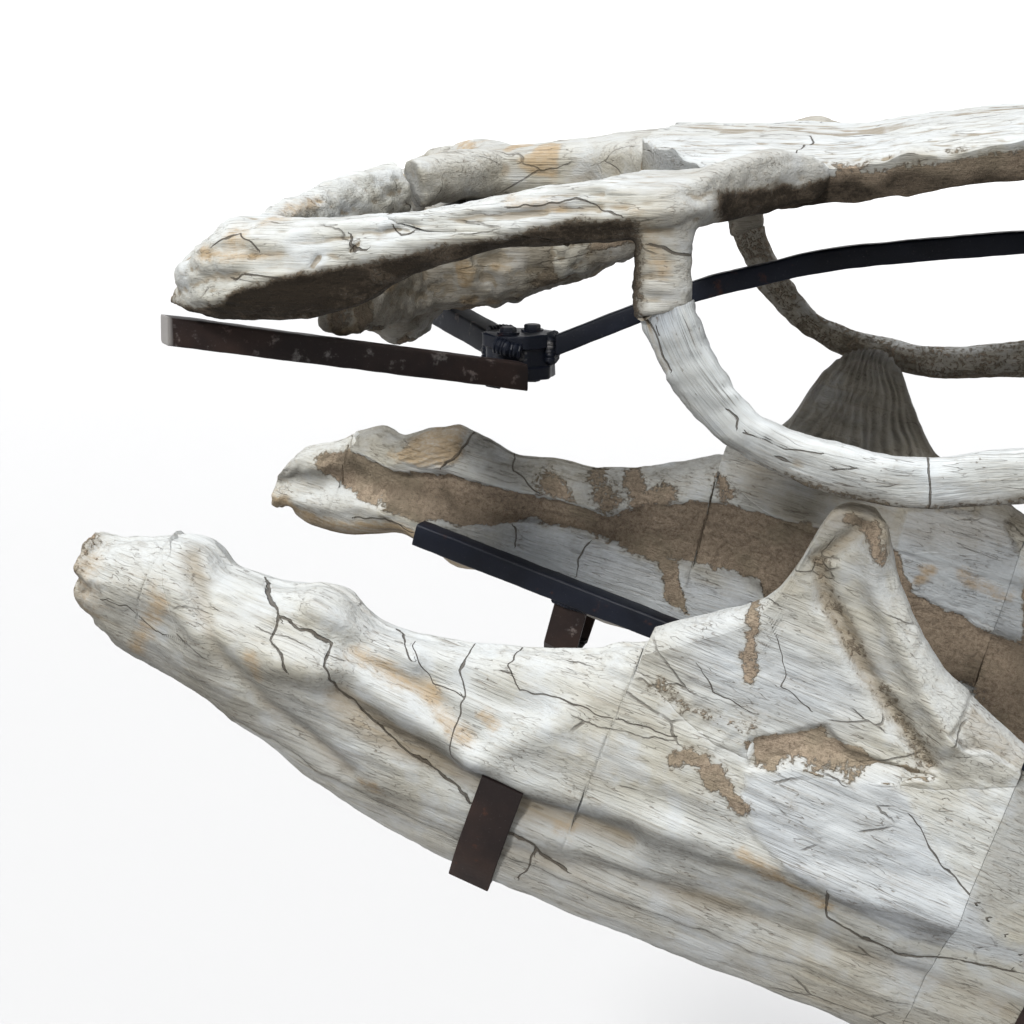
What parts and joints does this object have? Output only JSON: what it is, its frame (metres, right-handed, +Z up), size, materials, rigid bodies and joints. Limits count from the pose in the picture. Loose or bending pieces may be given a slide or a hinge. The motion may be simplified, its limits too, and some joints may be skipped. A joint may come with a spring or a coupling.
{
  "type": "fossil mosasaur skull",
  "caption": "Life-size fossil mosasaur skull with open jaws, chalky white bone with brown matrix, held on a black welded steel mount over a flat base.",
  "frame": {"origin": "centre of the base plate's underside, on the floor", "axes": "+X towards the snout, +Y to the animal's left, +Z up"},
  "size_m": [1.4616, 0.5144, 1.2288],
  "materials": {
    "bone": "chalky weathered fossil bone with brown matrix",
    "bone_with_teeth": "fossil bone with glossy brown tooth crowns",
    "black_steel": "worn black paint",
    "rusted_steel": "dark brown weathered steel",
    "stand_steel": "satin black powder coat"
  },
  "bodies": {
    "root": {"angular_left": "bone", "angular_right": "bone", "articular_left": "bone", "articular_right": "bone", "braincase": "bone", "coronoid_left": "bone", "coronoid_right": "bone", "dentary_left": "bone_with_teeth", "dentary_right": "bone_with_teeth", "frontal": "bone", "jugal_left": "bone", "jugal_right": "bone", "maxilla_left": "bone_with_teeth", "maxilla_right": "bone_with_teeth", "mount_arm_left": "black_steel", "mount_arm_right": "rusted_steel", "mount_clip_left_1": "black_steel", "mount_clip_left_2": "black_steel", "mount_clip_right_1": "black_steel", "mount_clip_right_2": "black_steel", "mount_hub": "black_steel", "mount_jaw_bar_left": "black_steel", "mount_jaw_bar_right": "black_steel", "mount_roof_strap": "black_steel", "parietal": "bone", "postorbitofrontal_left": "bone", "postorbitofrontal_right": "bone", "prefrontal_left": "bone", "prefrontal_right": "bone", "premaxilla": "bone_with_teeth", "splenial_left": "bone", "splenial_right": "bone", "squamosal_left": "bone", "squamosal_right": "bone", "stand_base": "stand_steel", "stand_flange": "stand_steel", "stand_jaw_arm_left": "stand_steel", "stand_jaw_arm_right": "stand_steel", "stand_post": "stand_steel", "stand_saddle": "stand_steel", "stand_snout_bar": "stand_steel", "surangular_left": "bone", "surangular_right": "bone"}
  },
  "joints": []
}
